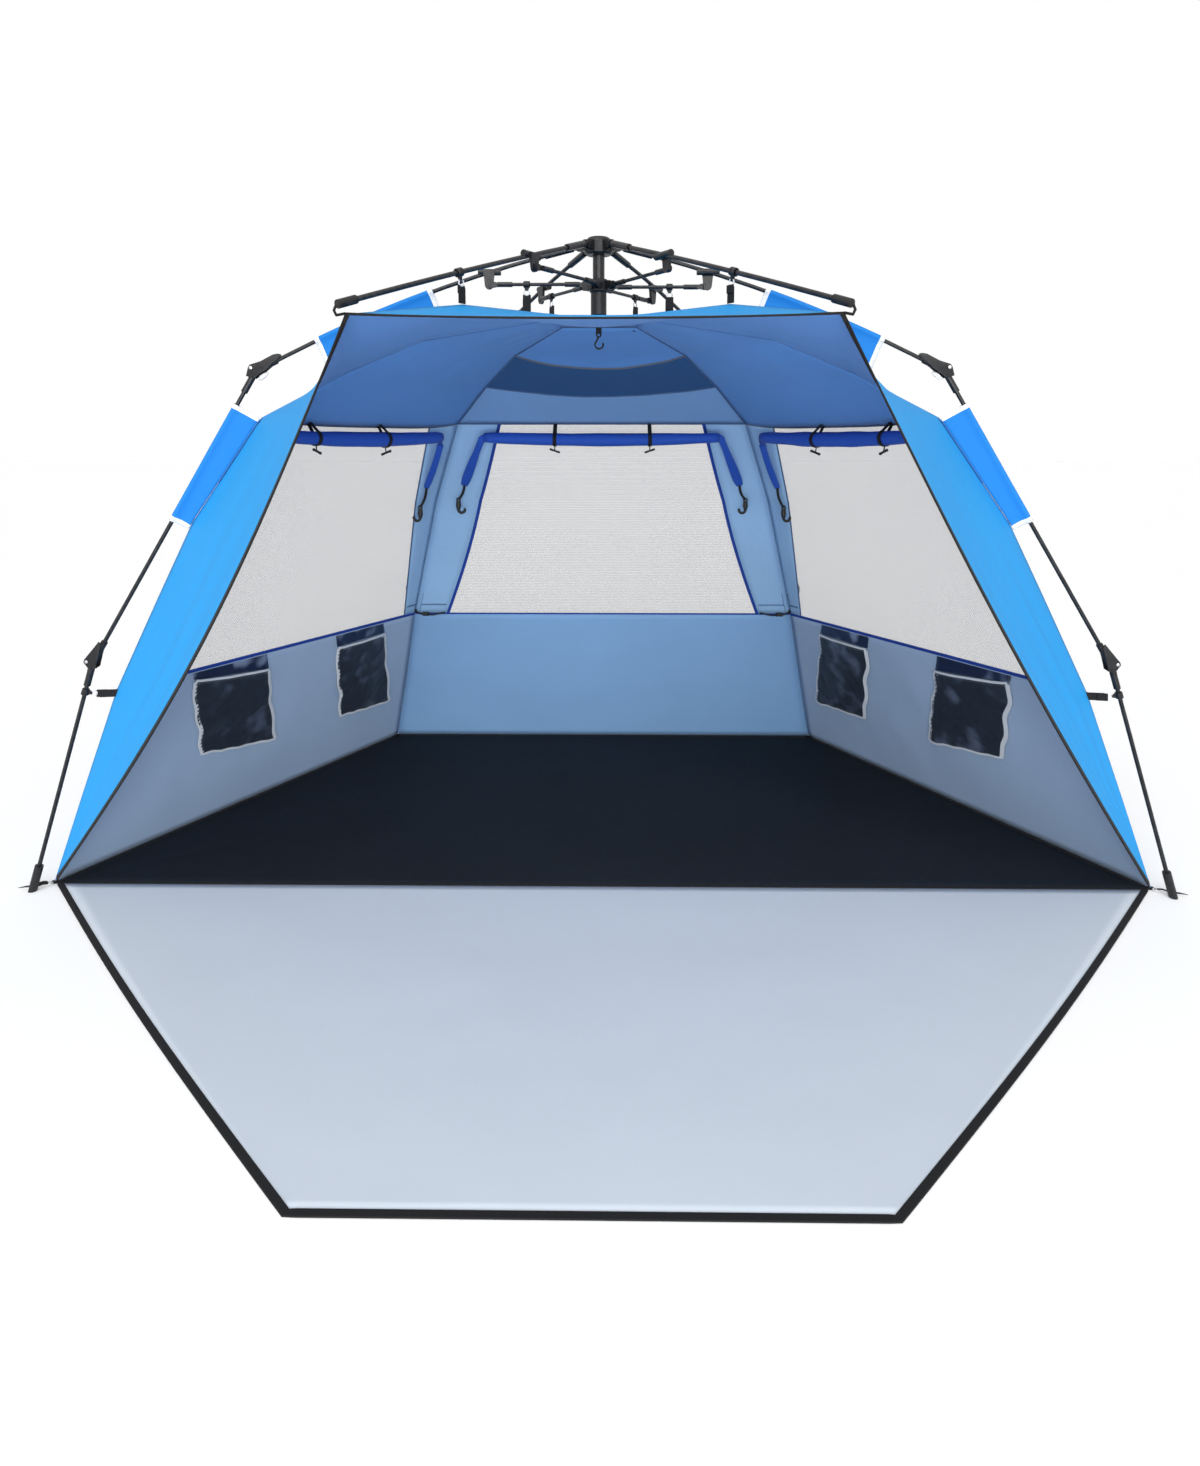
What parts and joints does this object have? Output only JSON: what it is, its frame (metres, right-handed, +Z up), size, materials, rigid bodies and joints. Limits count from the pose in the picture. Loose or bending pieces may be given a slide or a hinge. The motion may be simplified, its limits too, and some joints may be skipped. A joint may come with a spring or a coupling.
{
  "type": "beach tent",
  "caption": "Dome beach tent on an outer folding frame with a hub, a runner and jointed legs; mesh windows, awning, ground sheet and a mat that closes the doorway.",
  "frame": {"origin": "on the ground in the middle of the whole footprint, mat included", "axes": "+Z up, -Y out of the doorway, +X to the right when looking in through the doorway"},
  "size_m": [2.427, 1.7588, 1.3695],
  "materials": {
    "black_pole": "black resin-bound fibre rod, satin",
    "black_plastic": "black moulded plastic",
    "bright_blue_cloth": "coated polyester, bright blue outside",
    "wall_cloth": "coated polyester, seen from inside",
    "rolled_cover_cloth": "rolled polyester, royal blue",
    "ground_sheet_cloth": "dark coated ground sheet",
    "mat_cloth": "light grey-blue coated cloth",
    "window_mesh": "fine insect mesh",
    "pocket_mesh": "black open mesh"
  },
  "bodies": {
    "canopy": {"ground_sheet": "ground_sheet_cloth", "lower_wall_left": "wall_cloth", "lower_wall_right": "wall_cloth", "lower_wall_rear": "wall_cloth", "wing_left": "bright_blue_cloth", "wing_right": "bright_blue_cloth", "side_panel_left": "bright_blue_cloth", "side_panel_right": "bright_blue_cloth", "rear_panel": "bright_blue_cloth", "awning": "bright_blue_cloth", "window_left": "window_mesh", "window_right": "window_mesh", "window_rear": "window_mesh", "window_roll_left": "rolled_cover_cloth", "window_roll_right": "rolled_cover_cloth", "window_roll_rear": "rolled_cover_cloth", "pocket_front_left": "pocket_mesh", "pocket_front_right": "pocket_mesh", "pocket_rear_left": "pocket_mesh", "pocket_rear_right": "pocket_mesh", "lamp_hook": "black_plastic"},
    "mat": {"door_mat": "mat_cloth"},
    "hub": {"hub_crown": "black_plastic", "hub_post": "black_pole"},
    "slider": {"runner": "black_plastic"},
    "folding_arm_front_left": {"arm_front_left": "black_pole", "tip_cap_left": "black_plastic"},
    "stay_front_left": {"strut_front_left": "black_plastic"},
    "folding_arm_front_right": {"arm_front_right": "black_pole", "tip_cap_right": "black_plastic"},
    "stay_front_right": {"strut_front_right": "black_plastic"},
    "folding_arm_side_left": {"arm_side_left": "black_pole", "elbow_fork_side_left": "black_plastic"},
    "stay_side_left": {"strut_side_left": "black_plastic"},
    "shank_side_left": {"mid_pole_side_left": "black_pole", "knee_fork_side_left": "black_plastic"},
    "shin_side_left": {"lower_pole_side_left": "black_pole", "foot_side_left": "black_plastic"},
    "folding_arm_side_right": {"arm_side_right": "black_pole", "elbow_fork_side_right": "black_plastic"},
    "stay_side_right": {"strut_side_right": "black_plastic"},
    "shank_side_right": {"mid_pole_side_right": "black_pole", "knee_fork_side_right": "black_plastic"},
    "shin_side_right": {"lower_pole_side_right": "black_pole", "foot_side_right": "black_plastic"},
    "folding_arm_rear_left": {"arm_rear_left": "black_pole", "elbow_fork_rear_left": "black_plastic"},
    "stay_rear_left": {"strut_rear_left": "black_plastic"},
    "shank_rear_left": {"mid_pole_rear_left": "black_pole", "knee_fork_rear_left": "black_plastic"},
    "shin_rear_left": {"lower_pole_rear_left": "black_pole", "foot_rear_left": "black_plastic"},
    "folding_arm_rear_right": {"arm_rear_right": "black_pole", "elbow_fork_rear_right": "black_plastic"},
    "stay_rear_right": {"strut_rear_right": "black_plastic"},
    "shank_rear_right": {"mid_pole_rear_right": "black_pole", "knee_fork_rear_right": "black_plastic"},
    "shin_rear_right": {"lower_pole_rear_right": "black_pole", "foot_rear_right": "black_plastic"}
  },
  "joints": [
    {"name": "frame_fold", "type": "slide", "parent": "canopy", "child": "hub", "axis": [0, 0, -1], "range_m": [0, 0.56], "deforming": ["ground_sheet", "lower_wall_left", "lower_wall_right", "lower_wall_rear", "wing_left", "wing_right", "side_panel_left", "side_panel_right", "rear_panel", "awning", "window_left", "window_right", "window_rear", "window_roll_left", "window_roll_right", "window_roll_rear", "pocket_front_left", "pocket_front_right", "pocket_rear_left", "pocket_rear_right", "lamp_hook"]},
    {"name": "runner_slide", "type": "slide", "parent": "hub", "child": "slider", "axis": [0, 0, -1], "range_m": [0, 0.30994]},
    {"name": "arm_hinge_front_left", "type": "hinge", "parent": "hub", "child": "folding_arm_front_left", "pos_m": [-0.02225, -0.15767, 1.349], "axis": [0.831, -0.5563, 0], "range_deg": [0, 68.93]},
    {"name": "strut_hinge_front_left", "type": "hinge", "parent": "slider", "child": "stay_front_left", "pos_m": [-0.00366, -0.15327, 1.271], "axis": [-0.831, 0.5563, 0], "range_deg": [0, 85.29]},
    {"name": "arm_hinge_front_right", "type": "hinge", "parent": "hub", "child": "folding_arm_front_right", "pos_m": [0.02225, -0.15767, 1.349], "axis": [0.831, 0.5563, 0], "range_deg": [0, 68.93]},
    {"name": "strut_hinge_front_right", "type": "hinge", "parent": "slider", "child": "stay_front_right", "pos_m": [0.02527, -0.13881, 1.271], "axis": [-0.831, -0.5563, 0], "range_deg": [0, 85.29]},
    {"name": "arm_hinge_side_left", "type": "hinge", "parent": "hub", "child": "folding_arm_side_left", "pos_m": [-0.04, -0.12443, 1.349], "axis": [0, -1, 0], "range_deg": [0, 66.35]},
    {"name": "strut_hinge_side_left", "type": "hinge", "parent": "slider", "child": "stay_side_left", "pos_m": [-0.026, -0.13743, 1.271], "axis": [0, 1, 0], "range_deg": [0, 85.29]},
    {"name": "elbow_hinge_side_left", "type": "hinge", "parent": "folding_arm_side_left", "child": "shank_side_left", "pos_m": [-0.711, -0.12443, 1.105], "axis": [0, 1, 0], "range_deg": [0, 209.47]},
    {"name": "knee_hinge_side_left", "type": "hinge", "parent": "shank_side_left", "child": "shin_side_left", "pos_m": [-1.068, -0.12443, 0.496], "axis": [0, 1, 0], "range_deg": [0, 193.98]},
    {"name": "arm_hinge_side_right", "type": "hinge", "parent": "hub", "child": "folding_arm_side_right", "pos_m": [0.04, -0.12443, 1.349], "axis": [0, 1, 0], "range_deg": [0, 66.35]},
    {"name": "strut_hinge_side_right", "type": "hinge", "parent": "slider", "child": "stay_side_right", "pos_m": [0.026, -0.11143, 1.271], "axis": [0, -1, 0], "range_deg": [0, 85.29]},
    {"name": "elbow_hinge_side_right", "type": "hinge", "parent": "folding_arm_side_right", "child": "shank_side_right", "pos_m": [0.711, -0.12443, 1.105], "axis": [0, -1, 0], "range_deg": [0, 209.47]},
    {"name": "knee_hinge_side_right", "type": "hinge", "parent": "shank_side_right", "child": "shin_side_right", "pos_m": [1.068, -0.12443, 0.496], "axis": [0, -1, 0], "range_deg": [0, 193.98]},
    {"name": "arm_hinge_rear_left", "type": "hinge", "parent": "hub", "child": "folding_arm_rear_left", "pos_m": [-0.02254, -0.09139, 1.349], "axis": [-0.8261, -0.5635, 0], "range_deg": [0, 66.35]},
    {"name": "strut_hinge_rear_left", "type": "hinge", "parent": "slider", "child": "stay_rear_left", "pos_m": [-0.02539, -0.11028, 1.271], "axis": [0.8261, 0.5635, 0], "range_deg": [0, 85.29]},
    {"name": "elbow_hinge_rear_left", "type": "hinge", "parent": "folding_arm_rear_left", "child": "shank_rear_left", "pos_m": [-0.40067, 0.46292, 1.105], "axis": [0.8261, 0.5635, 0], "range_deg": [0, 209.47]},
    {"name": "knee_hinge_rear_left", "type": "hinge", "parent": "shank_rear_left", "child": "shin_rear_left", "pos_m": [-0.60185, 0.75784, 0.496], "axis": [0.8261, 0.5635, 0], "range_deg": [0, 193.98]},
    {"name": "arm_hinge_rear_right", "type": "hinge", "parent": "hub", "child": "folding_arm_rear_right", "pos_m": [0.02254, -0.09139, 1.349], "axis": [-0.8261, 0.5635, 0], "range_deg": [0, 66.35]},
    {"name": "strut_hinge_rear_right", "type": "hinge", "parent": "slider", "child": "stay_rear_right", "pos_m": [0.00391, -0.09563, 1.271], "axis": [0.8261, -0.5635, 0], "range_deg": [0, 85.29]},
    {"name": "elbow_hinge_rear_right", "type": "hinge", "parent": "folding_arm_rear_right", "child": "shank_rear_right", "pos_m": [0.40067, 0.46292, 1.105], "axis": [0.8261, -0.5635, 0], "range_deg": [0, 209.47]},
    {"name": "knee_hinge_rear_right", "type": "hinge", "parent": "shank_rear_right", "child": "shin_rear_right", "pos_m": [0.60185, 0.75784, 0.496], "axis": [0.8261, -0.5635, 0], "range_deg": [0, 193.98]},
    {"name": "mat_hinge", "type": "hinge", "parent": "canopy", "child": "mat", "pos_m": [0, -0.09273, 0.00075], "axis": [-1, 0, 0], "range_deg": [0, 63.9], "deforming": ["door_mat"]}
  ],
  "couplings": [
    {"joint": "runner_slide", "follows": "frame_fold", "ratio": 0.55256},
    {"joint": "arm_hinge_front_left", "follows": "frame_fold", "rad_per_m": 2.1466},
    {"joint": "strut_hinge_front_left", "follows": "frame_fold", "rad_per_m": 2.6565},
    {"joint": "arm_hinge_front_right", "follows": "frame_fold", "rad_per_m": 2.1466},
    {"joint": "strut_hinge_front_right", "follows": "frame_fold", "rad_per_m": 2.6565},
    {"joint": "arm_hinge_side_left", "follows": "frame_fold", "rad_per_m": 2.0663},
    {"joint": "strut_hinge_side_left", "follows": "frame_fold", "rad_per_m": 2.6565},
    {"joint": "elbow_hinge_side_left", "follows": "frame_fold", "rad_per_m": 6.5269},
    {"joint": "arm_hinge_side_right", "follows": "frame_fold", "rad_per_m": 2.0663},
    {"joint": "strut_hinge_side_right", "follows": "frame_fold", "rad_per_m": 2.6565},
    {"joint": "elbow_hinge_side_right", "follows": "frame_fold", "rad_per_m": 6.5269},
    {"joint": "arm_hinge_rear_left", "follows": "frame_fold", "rad_per_m": 2.0663},
    {"joint": "strut_hinge_rear_left", "follows": "frame_fold", "rad_per_m": 2.6565},
    {"joint": "elbow_hinge_rear_left", "follows": "frame_fold", "rad_per_m": 6.5269},
    {"joint": "arm_hinge_rear_right", "follows": "frame_fold", "rad_per_m": 2.0663},
    {"joint": "strut_hinge_rear_right", "follows": "frame_fold", "rad_per_m": 2.6565},
    {"joint": "elbow_hinge_rear_right", "follows": "frame_fold", "rad_per_m": 6.5269}
  ]
}
